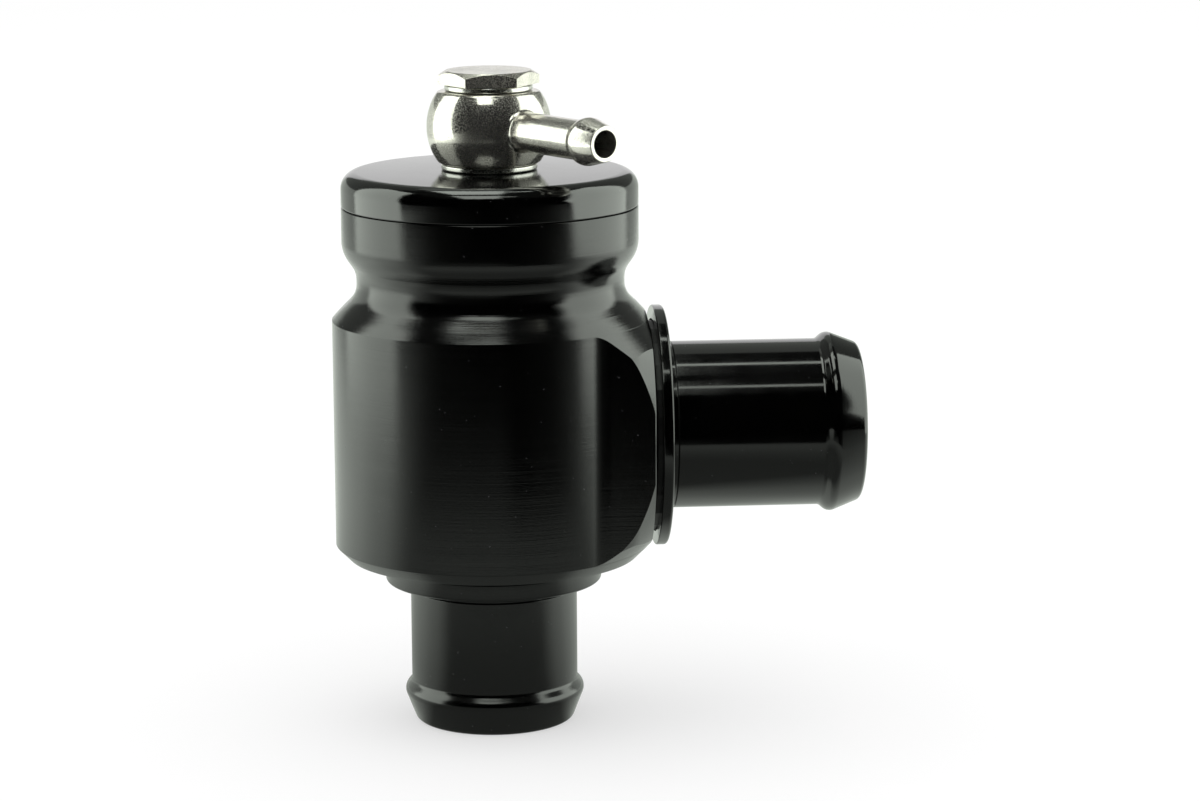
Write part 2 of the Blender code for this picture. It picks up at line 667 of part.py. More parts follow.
def make_bolt(frame):
    """Low hexagon head, and a hollow shank whose cross holes open into the eye."""
    corner = HEX_ACROSS_FLATS / 2 / cos(pi / 6)
    hexagon = [(corner * cos(HEX_TURN + k * pi / 3), corner * sin(HEX_TURN + k * pi / 3)) for k in range(6)]
    bolt = extruded("banjo_bolt", hexagon, HEX_BOTTOM, HEX_TOP)
    bolt.parent = frame
    bevel_out = HEX_TOP - HEX_TOP_DROP
    beyond = corner + CUT_MARGIN
    drop = (beyond - HEX_TOP_RADIUS) * HEX_TOP_DROP / (corner - HEX_TOP_RADIUS)
    envelope = [
        (0, HEX_TOP + CUT_MARGIN),
        (HEX_TOP_RADIUS, HEX_TOP),
        (corner, bevel_out),
        (beyond, HEX_TOP - drop),
        (beyond, HEX_BOTTOM - CUT_MARGIN),
        (0, HEX_BOTTOM - CUT_MARGIN),
    ]
    bevel = turned("hex_bevel_tool", envelope, TAIL_SIDES, frame)
    combine(bolt, bevel, "INTERSECT")
    shank_end = POCKET_CEILING - FACE_GAP
    shank = rod("shank_tool", BOLT_RADIUS, shank_end, HEX_BOTTOM + HEX_HEIGHT / 2, SMALL_SIDES, frame)
    combine(bolt, shank, "UNION")
    drill = rod("bolt_drill_tool", BOLT_BORE, shank_end - CUT_MARGIN, BALL_CENTRE + BOLT_BORE, SMALL_SIDES, frame)
    combine(bolt, drill, "DIFFERENCE")
    for index in range(2):
        cross = empty(f"cross_axis_{index}", (0, 0, BALL_CENTRE * MM), frame)
        cross.rotation_euler = (pi / 2, 0, HEX_TURN + index * pi / 2)
        hole = rod(f"cross_drill_tool_{index}", CROSS_HOLE, -BALL_RADIUS, BALL_RADIUS, CROSS_SIDES, cross)
        combine(bolt, hole, "DIFFERENCE")
    finish(bolt, material("banjo_bolt", NICKEL, 0.25, 1))


def make_fitting(frame):
    """A ball with two flats, bored for the bolt and grooved inside, and the barbed nipple in one with it."""
    pivot = empty("banjo_pivot", (0, 0, BALL_CENTRE * MM), frame)
    pivot.rotation_euler = (0, 0, NIPPLE_AZIMUTH)
    half = BALL_HEIGHT / 2
    flat_angle = asin(half / BALL_RADIUS)
    ball = []
    for step in range(BALL_STEPS + 1):
        angle = flat_angle - 2 * flat_angle * step / BALL_STEPS
        ball.append((BALL_RADIUS * cos(angle), BALL_RADIUS * sin(angle)))
    eye = [
        (BOLT_HOLE, -half),
        (BOLT_HOLE, -EYE_GROOVE_HALF),
        (EYE_GROOVE_RADIUS, -EYE_GROOVE_HALF),
        (EYE_GROOVE_RADIUS, EYE_GROOVE_HALF),
        (BOLT_HOLE, EYE_GROOVE_HALF),
        (BOLT_HOLE, half),
    ]
    fitting = turned("banjo_fitting", ball + eye, TAIL_SIDES, pivot)

    lying = empty("nipple_axis", (0, 0, 0), pivot)
    lying.rotation_euler = (0, pi / 2, 0)
    root = (EYE_GROOVE_RADIUS + BALL_RADIUS) / 2
    nipple_outline = rounded(
        [
            (0, NIPPLE_REACH, 0),
            (NIPPLE_TIP, NIPPLE_REACH, NIPPLE_TIP_ROUND),
            (BARB_RADIUS, NIPPLE_REACH - BARB_CREST, BARB_ROUND),
            (NIPPLE_RADIUS, NIPPLE_REACH - BARB_LENGTH, 0),
            (NIPPLE_RADIUS, root, 0),
            (0, root, 0),
        ]
    )
    nipple = turned("nipple_tool", nipple_outline, SMALL_SIDES, lying)
    combine(fitting, nipple, "UNION")
    drill = rod("nipple_drill_tool", NIPPLE_BORE, BOLT_HOLE, NIPPLE_REACH + CUT_MARGIN, SMALL_SIDES, lying)
    combine(fitting, drill, "DIFFERENCE")
    finish(fitting, material("banjo_fitting", NICKEL, 0.2, 1))


def main():
    clear_scene()
    frame = empty("valve_frame", (-MIDDLE_X * MM, -MIDDLE_Y * MM, 0))
    make_body(frame)
    make_inlet_tail(frame)
    make_outlet_tail(frame)
    make_cap(frame)
    make_piston(frame)
    make_spring(frame)
    plate = material("banjo_washers", NICKEL, 0.3, 1)
    make_washer("banjo_lower_washer", LOWER_WASHER_RADIUS, LOWER_WASHER_BOTTOM, plate, frame)
    make_washer("banjo_upper_washer", UPPER_WASHER_RADIUS, UPPER_WASHER_BOTTOM, plate, frame)
    make_bolt(frame)
    make_fitting(frame)


main()
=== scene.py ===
import json
from math import asin, atan2, ceil, cos, pi, radians, sin, sqrt, tan

import bmesh
import bpy
from mathutils import Matrix, Vector

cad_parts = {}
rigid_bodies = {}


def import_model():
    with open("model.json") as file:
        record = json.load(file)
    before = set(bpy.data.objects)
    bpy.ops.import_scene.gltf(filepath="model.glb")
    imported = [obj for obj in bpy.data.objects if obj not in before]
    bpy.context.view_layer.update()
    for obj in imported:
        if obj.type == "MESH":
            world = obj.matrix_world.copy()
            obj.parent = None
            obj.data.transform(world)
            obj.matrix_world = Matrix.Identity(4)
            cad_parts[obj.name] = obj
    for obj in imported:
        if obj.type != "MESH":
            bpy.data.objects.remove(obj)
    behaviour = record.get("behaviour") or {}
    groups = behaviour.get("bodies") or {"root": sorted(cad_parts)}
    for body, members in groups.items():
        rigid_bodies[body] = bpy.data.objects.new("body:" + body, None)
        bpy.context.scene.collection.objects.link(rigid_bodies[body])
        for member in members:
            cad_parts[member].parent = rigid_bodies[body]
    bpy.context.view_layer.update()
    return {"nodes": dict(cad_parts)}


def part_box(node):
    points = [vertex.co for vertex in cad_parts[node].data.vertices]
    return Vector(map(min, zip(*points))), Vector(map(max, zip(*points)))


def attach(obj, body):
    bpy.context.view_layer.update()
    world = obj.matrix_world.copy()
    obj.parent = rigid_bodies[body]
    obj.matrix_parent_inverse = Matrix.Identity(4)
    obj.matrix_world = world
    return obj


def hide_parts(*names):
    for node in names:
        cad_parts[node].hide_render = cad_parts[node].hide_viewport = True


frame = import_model()
scene = bpy.context.scene

# Lengths of shapes, cards and lights are in millimetres. Distances inside materials are in metres.
MM = 0.001
tail_low, tail_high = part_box("inlet_hose_tail")
AXIS = Vector(((tail_low.x + tail_high.x) / 2, (tail_low.y + tail_high.y) / 2, 0))

SIDES = 192
BODY_SIDES = 144
BORE_SIDES = 96
WASHER_SIDES = 128
BEVEL_SIDES = 160
SHANK_SIDES = 64
DRILL_SIDES = 48
ARC_STEP = radians(6)
SHARP_ANGLE = radians(12)
STRAIGHT = radians(89)
EDGE_BREAK = 0.15
CUT_MARGIN = 5.0


# shapes

def rounded(corners):
    """The outline through corners (across, up, rounding), with an arc at each corner that has a rounding."""
    points = []
    count = len(corners)
    for index, (across, up, rounding) in enumerate(corners):
        here = Vector((across, up))
        before = Vector(corners[index - 1][:2]) - here
        after = Vector(corners[(index + 1) % count][:2]) - here
        half = before.angle(after) / 2
        if rounding == 0 or half > STRAIGHT:
            points.append(here)
            continue
        back = min(rounding / tan(half), 0.49 * before.length, 0.49 * after.length)
        radius = back * tan(half)
        inward = (before.normalized() + after.normalized()).normalized()
        centre = here + inward * radius / sin(half)
        start = here + before.normalized() * back - centre
        end = here + after.normalized() * back - centre
        sweep = start.angle_signed(end)
        steps = max(2, ceil(abs(sweep) / ARC_STEP))
        for step in range(steps + 1):
            turn = Matrix.Rotation(-sweep * step / steps, 2)
            points.append(centre + turn @ start)
    return points


def new_object(name, data, parent=None):
    obj = bpy.data.objects.new(name, data)
    scene.collection.objects.link(obj)
    obj.parent = parent
    return obj


def empty(name, place, turn=(0, 0, 0), parent=None):
    obj = new_object(name, None, parent)
    obj.location = place
    obj.rotation_euler = turn
    return obj


def turned(name, outline, sides, parent):
    """The outline (across, up) turned about the parent's Z axis."""
    mesh = bpy.data.meshes.new(name)
    points = [(point[0] * MM, 0, point[1] * MM) for point in outline]
    pairs = [(index, (index + 1) % len(points)) for index in range(len(points))]
    edges = [pair for pair in pairs if points[pair[0]][0] > 0 or points[pair[1]][0] > 0]
    mesh.from_pydata(points, edges, [])
    obj = new_object(name, mesh, parent)
    screw = obj.modifiers.new("Turn", "SCREW")
    screw.axis = "Z"
    screw.steps = sides
    screw.render_steps = sides
    screw.use_merge_vertices = True
    screw.merge_threshold = 1e-6
    return obj


def extruded(name, outline, low, high, parent):
    """The plan (x, y) drawn up from low to high."""
    form = bmesh.new()
    foot = [form.verts.new((point[0] * MM, point[1] * MM, low * MM)) for point in outline]
    face = form.faces.new(foot)
    grown = bmesh.ops.extrude_face_region(form, geom=[face])["geom"]
    lifted = [item for item in grown if isinstance(item, bmesh.types.BMVert)]
    bmesh.ops.translate(form, vec=(0, 0, (high - low) * MM), verts=lifted)
    bmesh.ops.recalc_face_normals(form, faces=form.faces)
    mesh = bpy.data.meshes.new(name)
    form.to_mesh(mesh)
    form.free()
    return new_object(name, mesh, parent)


def rod(name, radius, low, high, sides, parent):
    return turned(name, [(0, high), (radius, high), (radius, low), (0, low)], sides, parent)


def combine(obj, other, operation):
    boolean = obj.modifiers.new(other.name, "BOOLEAN")
    boolean.operation = operation
    boolean.object = other
    boolean.solver = "EXACT"
    other.hide_render = True
    other.hide_set(True)


def finish(obj, look):
    """Makes the modifiers real, in the frame's own place, removes the tools and sets the material."""
    bpy.context.view_layer.update()
    graph = bpy.context.evaluated_depsgraph_get()
    evaluated = obj.evaluated_get(graph)
    place = evaluated.matrix_world.copy()
    made = bpy.data.meshes.new_from_object(evaluated)
    tools = [modifier.object for modifier in obj.modifiers if modifier.type == "BOOLEAN"]
    obj.modifiers.clear()
    while tools:
        tool = tools.pop()
        tools += [modifier.object for modifier in tool.modifiers if modifier.type == "BOOLEAN"]
        bpy.data.objects.remove(tool, do_unlink=True)
    obj.data = made
    obj.parent = None
    obj.matrix_world = Matrix.Identity(4)
    made.transform(place)
    made.name = obj.name
    made.materials.clear()
    made.materials.append(look)
    made.shade_smooth()
    made.set_sharp_from_angle(angle=SHARP_ANGLE)


# node materials

def new_material(name):
    made = bpy.data.materials.new(name)
    made.use_nodes = True
    return made, made.node_tree.nodes, made.node_tree.links


def ramp(nodes, links, source, low, high, first, last):
    """Maps the source from low..high to first..last."""
    made = nodes.new("ShaderNodeMapRange")
    links.new(source, made.inputs["Value"])
    made.inputs["From Min"].default_value = low
    made.inputs["From Max"].default_value = high
    made.inputs["To Min"].default_value = first
    made.inputs["To Max"].default_value = last
    return made.outputs["Result"]


def noise(nodes, links, vector, scale, detail, rough=0.5):
    made = nodes.new("ShaderNodeTexNoise")
    links.new(vector, made.inputs["Vector"])
    made.inputs["Scale"].default_value = scale
    made.inputs["Detail"].default_value = detail
    made.inputs["Roughness"].default_value = rough
    return made.outputs["Fac"]


def along(nodes, links, vector, stretch):
    """The coordinates stretched by three factors, so that noise becomes rings or streaks."""
    made = nodes.new("ShaderNodeMapping")
    made.inputs["Scale"].default_value = stretch
    links.new(vector, made.inputs["Vector"])
    return made.outputs["Vector"]


def measured_from(nodes, links, vector, centre):
    """The coordinates measured from the centre."""
    made = nodes.new("ShaderNodeVectorMath")
    made.operation = "SUBTRACT"
    links.new(vector, made.inputs[0])
    made.inputs[1].default_value = centre
    return made.outputs["Vector"]


def math_node(nodes, links, operation, first, second):
    made = nodes.new("ShaderNodeMath")
    made.operation = operation
    for index, value in enumerate((first, second)):
        if isinstance(value, (int, float)):
            made.inputs[index].default_value = value
        else:
            links.new(value, made.inputs[index])
    return made.outputs[0]


def mottle(nodes, links, factor, first, second):
    """Colours the surface between two colours."""
    mix = nodes.new("ShaderNodeMix")
    mix.data_type = "RGBA"
    mix.inputs["A"].default_value = (*first, 1)
    mix.inputs["B"].default_value = (*second, 1)
    links.new(factor, mix.inputs["Factor"])
    links.new(mix.outputs["Result"], nodes["Principled BSDF"].inputs["Base Color"])


def emboss(nodes, links, height, strength, distance):
    """Bends the surface's normal by the height."""
    bump = nodes.new("ShaderNodeBump")
    bump.inputs["Strength"].default_value = strength
    bump.inputs["Distance"].default_value = distance
    links.new(height, bump.inputs["Height"])
    links.new(bump.outputs["Normal"], nodes["Principled BSDF"].inputs["Normal"])


def anodised(name, roughness, axis, grain, ior=1.7, centre=(0, 0, 0)):
    """Black anodised aluminium: turned rings across the axis, fine grain and pale dust specks."""
    made, nodes, links = new_material(name)
    shader = nodes["Principled BSDF"]
    place = nodes.new("ShaderNodeTexCoord").outputs["Object"]
    local = measured_from(nodes, links, place, centre)

    stretch = [9000 if k == axis else 25 for k in range(3)]
    rings = noise(nodes, links, along(nodes, links, local, stretch), 1.0, 2.0)
    fine = noise(nodes, links, local, 5200, 4.0, 0.6)
    patch = noise(nodes, links, local, 260, 4.0, 0.55)
    dust = noise(nodes, links, local, 2600, 1.0, 0.4)
    specks = ramp(nodes, links, dust, 0.785, 0.83, 0.0, 1.0)

    black = 0.0005
    shade = ramp(nodes, links, patch, 0.3, 0.7, black * 0.7, black * 1.4)
    pale = math_node(nodes, links, "ADD", shade, math_node(nodes, links, "MULTIPLY", specks, 0.05))
    colour = nodes.new("ShaderNodeCombineColor")
    links.new(pale, colour.inputs[0])
    links.new(pale, colour.inputs[1])
    links.new(math_node(nodes, links, "MULTIPLY", pale, 1.06), colour.inputs[2])
    links.new(colour.outputs[0], shader.inputs["Base Color"])

    rough = ramp(nodes, links, patch, 0.25, 0.75, roughness - 0.03, roughness + 0.03)
    rough = math_node(nodes, links, "ADD", rough, math_node(nodes, links, "MULTIPLY", specks, 0.3))
    links.new(rough, shader.inputs["Roughness"])
    shader.inputs["IOR"].default_value = ior
    shader.inputs["Metallic"].default_value = 0.0

    height = math_node(nodes, links, "ADD", rings, math_node(nodes, links, "MULTIPLY", fine, 1.2))
    emboss(nodes, links, height, grain, 0.00001)
    return made


def metal(name, colour, roughness, grain, dark=0.75, bloom=0.0, metallic=1.0):
    """Plated or bare metal with a fine grain, faint stains and small pits that scatter the light."""
    made, nodes, links = new_material(name)
    shader = nodes["Principled BSDF"]
    local = nodes.new("ShaderNodeTexCoord").outputs["Object"]
    fine = noise(nodes, links, local, 2600, 4.0, 0.6)
    patch = noise(nodes, links, local, 330, 5.0, 0.6)
    pits = noise(nodes, links, local, 7800, 3.0, 0.6)
    stained = [value * dark for value in colour]
    mottle(nodes, links, ramp(nodes, links, patch, 0.35, 0.6, 0.0, 1.0), stained, colour)
    shader.inputs["Metallic"].default_value = metallic
    rough = ramp(nodes, links, patch, 0.3, 0.7, roughness * 1.25, roughness * 0.8)
    scatter = ramp(nodes, links, pits, 0.50, 0.68, 0.0, bloom)
    links.new(math_node(nodes, links, "ADD", rough, scatter), shader.inputs["Roughness"])
    emboss(nodes, links, fine, grain, 0.00003)
    return made


def dull(name, colour, roughness):
    """Rubber or plastic with a mottled tone and a fine matt grain."""
    made, nodes, links = new_material(name)
    shader = nodes["Principled BSDF"]
    local = nodes.new("ShaderNodeTexCoord").outputs["Object"]
    fine = noise(nodes, links, local, 1400, 4.0, 0.6)
    patch = noise(nodes, links, local, 400, 4.0, 0.6)
    darker = [value * 0.7 for value in colour]
    paler = [value * 1.2 for value in colour]
    mottle(nodes, links, ramp(nodes, links, patch, 0.35, 0.65, 0.0, 1.0), darker, paler)
    rough = ramp(nodes, links, fine, 0.3, 0.7, roughness - 0.06, roughness + 0.06)
    links.new(rough, shader.inputs["Roughness"])
    shader.inputs["IOR"].default_value = 1.5
    emboss(nodes, links, fine, 0.4, 0.00003)
    return made


UPRIGHT, LYING = 2, 0
body_look = anodised("satin_black", 0.10, UPRIGHT, 1.0, centre=tuple(AXIS))
cap_look = anodised("cap_black", 0.09, UPRIGHT, 0.4, ior=1.85, centre=tuple(AXIS))
inlet_look = anodised("inlet_black", 0.18, UPRIGHT, 0.4, centre=tuple(AXIS))
outlet_look = anodised("outlet_black", 0.09, LYING, 0.14)
nickel_look = metal("nickel_plate", (0.79, 0.76, 0.70), 0.09, 0.22, dark=0.85, bloom=0.5, metallic=0.97)
bolt_look = metal("bolt_plate", (0.71, 0.68, 0.62), 0.14, 0.3, dark=0.85, bloom=0.8, metallic=0.95)
washer_look = metal("washer_plate", (0.78, 0.77, 0.73), 0.15, 0.2, dark=0.9, bloom=0.4)
rubber_look = dull("seal_rubber", (0.008, 0.008, 0.008), 0.45)
brass_look = metal("turned_brass", (0.72, 0.50, 0.20), 0.28, 0.25)
steel_look = metal("spring_steel", (0.50, 0.50, 0.51), 0.28, 0.25)
plastic_look = dull("guide_plastic", (0.6, 0.57, 0.5), 0.5)

for name, look in {
    "piston": brass_look,
    "piston_guide_ring": plastic_look,
    "piston_upper_o_ring": rubber_look,
    "piston_lower_o_ring": rubber_look,
    "piston_nose_seal": rubber_look,
    "preload_shim": steel_look,
    "return_spring": steel_look,
    "cap_o_ring": rubber_look,
    "inlet_tail_o_ring": rubber_look,
    "outlet_tail_o_ring": rubber_look,
}.items():
    mesh = frame["nodes"][name].data
    mesh.materials.clear()
    mesh.materials.append(look)


# the pieces that the eye meets, drawn again with finer steps

axis = empty("axis_place", AXIS)

BODY_BOTTOM = 25.45
BODY_TOP = 78.05
BODY_RADIUS = 23.6
LOW_BEVEL = 1.8
COLLAR_RADIUS = 22.0
NECK_RADIUS = 19.87
NECK_TOP = 68.4
NECK_ROUNDING = 3.6
SHOULDER_EDGE = 61.2
SHOULDER_ANGLE = radians(42.5)
SHOULDER_BEND = (22.3, 62.62, 20)
FLARE_ANGLE = radians(35)
PORT_HEIGHT = 44.37
SEAT_FACE = 22.95
BOSS_HALF_WIDTH = 18.3
BOSS_BLEND = 4.5
BLEND_STEPS = 14
PORT_FACE_RADIUS = 19.05
CONE_BEND = 22.4
CONE_BEND_ROUNDING = 9
CONE_SLOPE = 0.66
CONE_RELIEF = 0.03
SKIRT_BORE = 17.5
SKIRT_SEAT = 71.15
PISTON_BORE = 15.0
INLET_SEAT = 30.75
SPIGOT_BORE = 13.2
SPIGOT_DEPTH = 6.3
TAIL_BORE = 10.0
SPIGOT_RADIUS = 12.9
HOSE_RADIUS = 12.5
RELIEF_RADIUS = 12.15
RELIEF_WIDTH = 1.15
BEAD_RADIUS = 13.67
REBATE_DEPTH = 0.8
OUTLET_REACH = 55.0
CAP_TOP = 83.4
CAP_BOTTOM = 78.15
CAP_DISH = 78.3
CAP_GROOVE_DEPTH = 1.6
WASHER_THICK = 0.75
BOLT_HOLE = 4.2
CROSS_DRILL = 2.0
HEX_HALF_FLATS = 6.5
HEX_LOW = 96.0
HEX_TOP = 98.0
HEX_BEVEL_RADIUS = 6.3
HEX_BEVEL_DROP = 0.75
BALL_CENTRE = 89.7
BALL_RADIUS = 9.2
BALL_HALF_HEIGHT = 10.7 / 2
BALL_STEPS = 48
BALL_RIM_ROUNDING = 0.9
EYE_GROOVE_RADIUS = 5.8
EYE_GROOVE_HALF = 2.4
NIPPLE_TURN = radians(-57)


def boss_plan():
    """The boss seen from above: two flat walls that run into the barrel, and a blunt nose past the seat."""
    blend_y = BOSS_HALF_WIDTH + BOSS_BLEND
    blend_x = sqrt((BODY_RADIUS + BOSS_BLEND) ** 2 - blend_y**2)
    meets = atan2(blend_y, blend_x)
    upper = []
    for step in range(BLEND_STEPS + 1):
        angle = -pi / 2 - (pi / 2 - meets) * step / BLEND_STEPS
        upper.append((blend_x + BOSS_BLEND * cos(angle), blend_y + BOSS_BLEND * sin(angle)))
    lower = [(x, -y) for x, y in reversed(upper)]
    inside = NECK_RADIUS / 2
    corner = SEAT_FACE - EDGE_BREAK
    nose = SEAT_FACE + CUT_MARGIN
    side = BOSS_HALF_WIDTH - EDGE_BREAK - CUT_MARGIN
    front = [(nose, -side), (nose, side), (corner, BOSS_HALF_WIDTH)]
    return [*front, *upper, (inside, inside), (inside, -inside), *lower, (corner, -BOSS_HALF_WIDTH)]


def make_boss():
    reach = sqrt(SEAT_FACE**2 + BOSS_HALF_WIDTH**2) + CUT_MARGIN
    inside = (BODY_RADIUS + NECK_RADIUS) / 2
    edge = SHOULDER_EDGE - CONE_RELIEF
    bevel = BODY_BOTTOM + LOW_BEVEL - BODY_RADIUS + CONE_RELIEF
    outline = [
        (0, edge),
        (inside, edge + (BODY_RADIUS - inside) / tan(SHOULDER_ANGLE)),
        (reach, edge + (BODY_RADIUS - reach) / tan(SHOULDER_ANGLE)),
        (reach, bevel + reach),
        (BODY_RADIUS - LOW_BEVEL / 2, bevel + BODY_RADIUS - LOW_BEVEL / 2),
        (0, BODY_BOTTOM + LOW_BEVEL),
    ]
    boss = turned("boss_tool", outline, BODY_SIDES, axis)
    plan = extruded("plan_tool", boss_plan(), BODY_BOTTOM - CUT_MARGIN, BODY_TOP + CUT_MARGIN, axis)
    combine(boss, plan, "INTERSECT")
    return boss


def make_port_cone(port, neck_low):
    """The cone about the port's axis that trims the boss, with all that lies above the shoulder kept."""
    far = 2 * BODY_RADIUS
    bend_up = SEAT_FACE - (CONE_BEND - PORT_FACE_RADIUS) * tan(SHOULDER_ANGLE)
    outline = rounded(
        [
            (0, SEAT_FACE, 0),
            (PORT_FACE_RADIUS - EDGE_BREAK, SEAT_FACE, 0),
            (PORT_FACE_RADIUS, SEAT_FACE - EDGE_BREAK, 0),
            (CONE_BEND, bend_up, CONE_BEND_ROUNDING),
            (CONE_BEND + CONE_SLOPE * (bend_up + far), -far, 0),
            (0, -far, 0),
        ]
    )
    cone = turned("port_cone_tool", outline, BODY_SIDES, port)
    round_back = NECK_ROUNDING * tan(SHOULDER_ANGLE / 2)
    low = neck_low - round_back * cos(SHOULDER_ANGLE)
    above = rod("above_shoulder_tool", far, low, BODY_TOP + CUT_MARGIN, BODY_SIDES, axis)
    combine(cone, above, "UNION")
    return cone


def make_body():
    neck_low = SHOULDER_EDGE + (BODY_RADIUS - NECK_RADIUS) / tan(SHOULDER_ANGLE)
    collar_low = NECK_TOP + (COLLAR_RADIUS - NECK_RADIUS) / tan(FLARE_ANGLE)
    outline = rounded(
        [
            (0, BODY_TOP, 0),
            (COLLAR_RADIUS, BODY_TOP, 0.2),
            (COLLAR_RADIUS, collar_low, 4.8),
            (NECK_RADIUS, NECK_TOP, 3.8),
            (NECK_RADIUS, neck_low - 0.26, NECK_ROUNDING),
            SHOULDER_BEND,
            (BODY_RADIUS, SHOULDER_EDGE, 0.1),
            (BODY_RADIUS, BODY_BOTTOM + LOW_BEVEL, 0.1),
            (BODY_RADIUS - LOW_BEVEL, BODY_BOTTOM, 0),
            (0, BODY_BOTTOM, 0),
        ]
    )
    body = turned("body_shell", outline, BODY_SIDES, axis)
    combine(body, make_boss(), "UNION")
    port = empty("port_axis", (0, 0, PORT_HEIGHT * MM), (0, pi / 2, 0), axis)
    combine(body, make_port_cone(port, neck_low), "INTERSECT")

    bore_outline = [
        (0, BODY_TOP + CUT_MARGIN),
        (SKIRT_BORE, BODY_TOP + CUT_MARGIN),
        (SKIRT_BORE, SKIRT_SEAT),
        (PISTON_BORE, SKIRT_SEAT),
        (PISTON_BORE, INLET_SEAT),
        (SPIGOT_BORE, INLET_SEAT),
        (SPIGOT_BORE, BODY_BOTTOM - CUT_MARGIN),
        (0, BODY_BOTTOM - CUT_MARGIN),
    ]
    hole_outline = [
        (0, SEAT_FACE + CUT_MARGIN),
        (SPIGOT_BORE, SEAT_FACE + CUT_MARGIN),
        (SPIGOT_BORE, SEAT_FACE - SPIGOT_DEPTH),
        (TAIL_BORE, SEAT_FACE - SPIGOT_DEPTH),
        (TAIL_BORE, 0),
        (0, 0),
    ]
    for tool_name, cut_outline, place in (
        ("bore_tool", bore_outline, axis),
        ("port_hole_tool", hole_outline, port),
    ):
        cut = turned(tool_name, cut_outline, BORE_SIDES, place)
        cut.rotation_euler.z = pi / BORE_SIDES
        combine(body, cut, "DIFFERENCE")
    finish(body, body_look)
    return body


def tail_outline(spigot, flange_low, flange_radius, flange_thick, rebate_radius):
    flange_top = flange_low + flange_thick
    return rounded(
        [
            *spigot,
            (SPIGOT_RADIUS, flange_top - REBATE_DEPTH, 0),
            (rebate_radius, flange_top - REBATE_DEPTH, 0),
            (rebate_radius, flange_top, 0),
            (flange_radius, flange_top, 0.22),
            (flange_radius, flange_low, 0.5),
            (RELIEF_RADIUS, flange_low, 0),
            (RELIEF_RADIUS, flange_low - RELIEF_WIDTH, 0.1),
            (HOSE_RADIUS, flange_low - RELIEF_WIDTH, 0.12),
            (HOSE_RADIUS, 6.15, 1.0),
            (BEAD_RADIUS, 4.8, 1.6),
            (11.8, 0, 1.0),
            (TAIL_BORE, 0, 0.1),
        ]
    )


def make_tails():
    inlet_spigot = [
        (TAIL_BORE, INLET_SEAT, 0.1),
        (11.6, INLET_SEAT, 0.1),
        (11.6, 30.15, 0),
        (SPIGOT_RADIUS, 30.15, 0.1),
    ]
    inlet_outline = tail_outline(
        inlet_spigot, flange_low=21.45, flange_radius=16.2, flange_thick=2.65, rebate_radius=15.125
    )
    inlet = turned("inlet_tail", inlet_outline, SIDES, axis)
    finish(inlet, inlet_look)

    laid = empty("outlet_axis", (OUTLET_REACH * MM, 0, PORT_HEIGHT * MM), (0, -pi / 2, 0), axis)
    outlet_spigot = [(TAIL_BORE, 38.05, 0.1), (SPIGOT_RADIUS, 38.05, 0.1)]
    outlet_outline = tail_outline(
        outlet_spigot, flange_low=29.25, flange_radius=18.0, flange_thick=1.65, rebate_radius=15.975
    )
    outlet = turned("outlet_tail", outlet_outline, SIDES, laid)
    finish(outlet, outlet_look)
    return inlet, outlet


def make_cap():
    outline = rounded(
        [
            (BOLT_HOLE, CAP_TOP, 0),
            (7.6, CAP_TOP, 0),
            (COLLAR_RADIUS, CAP_TOP - 0.22, 3.7),
            (COLLAR_RADIUS, CAP_BOTTOM, 0.2),
            (20.7, CAP_BOTTOM, 0),
            (20.7, CAP_BOTTOM + CAP_GROOVE_DEPTH, 0),
            (18.5, CAP_BOTTOM + CAP_GROOVE_DEPTH, 0),
            (18.5, CAP_BOTTOM, 0),
            (17.2, CAP_BOTTOM, 0),
            (17.2, 71.45, 0),
            (12.9, 71.45, 0),
            (12.9, CAP_DISH, 0),
            (BOLT_HOLE, CAP_DISH, 0),
        ]
    )
    cap = turned("cap_shell", outline, SIDES, axis)
    finish(cap, cap_look)
    return cap


def make_washer(name, radius, low):
    high = low + WASHER_THICK
    outline = rounded([(BOLT_HOLE, high, 0), (radius, high, 0.2), (radius, low, 0.2), (BOLT_HOLE, low, 0)])
    washer = turned(name, outline, WASHER_SIDES, axis)
    finish(washer, washer_look)
    return washer


def make_bolt():
    turn = radians(0.5)
    corner = HEX_HALF_FLATS / cos(pi / 6)
    angles = [turn + k * pi / 3 for k in range(6)]
    hexagon = [(corner * cos(angle), corner * sin(angle)) for angle in angles]
    bolt = extruded("bolt_head", hexagon, HEX_LOW, HEX_TOP, axis)
    beyond = corner + CUT_MARGIN
    drop = (beyond - HEX_BEVEL_RADIUS) * HEX_BEVEL_DROP / (corner - HEX_BEVEL_RADIUS)
    bevel_outline = [
        (0, HEX_TOP + CUT_MARGIN),
        (HEX_BEVEL_RADIUS, HEX_TOP),
        (corner, HEX_TOP - HEX_BEVEL_DROP),
        (beyond, HEX_TOP - drop),
        (beyond, 90),
        (0, 90),
    ]
    combine(bolt, turned("hex_bevel_tool", bevel_outline, BEVEL_SIDES, axis), "INTERSECT")
    combine(bolt, rod("shank_tool", 3.9, 78.2, 97.0, SHANK_SIDES, axis), "UNION")
    drill = rod("bolt_drill_tool", CROSS_DRILL, 73.0, BALL_CENTRE + 2.0, DRILL_SIDES, axis)
    combine(bolt, drill, "DIFFERENCE")
    edges = bolt.modifiers.new("Edges", "BEVEL")
    edges.width = 0.1 * MM
    edges.segments = 2
    edges.limit_method = "ANGLE"
    edges.angle_limit = radians(40)
    finish(bolt, bolt_look)
    return bolt


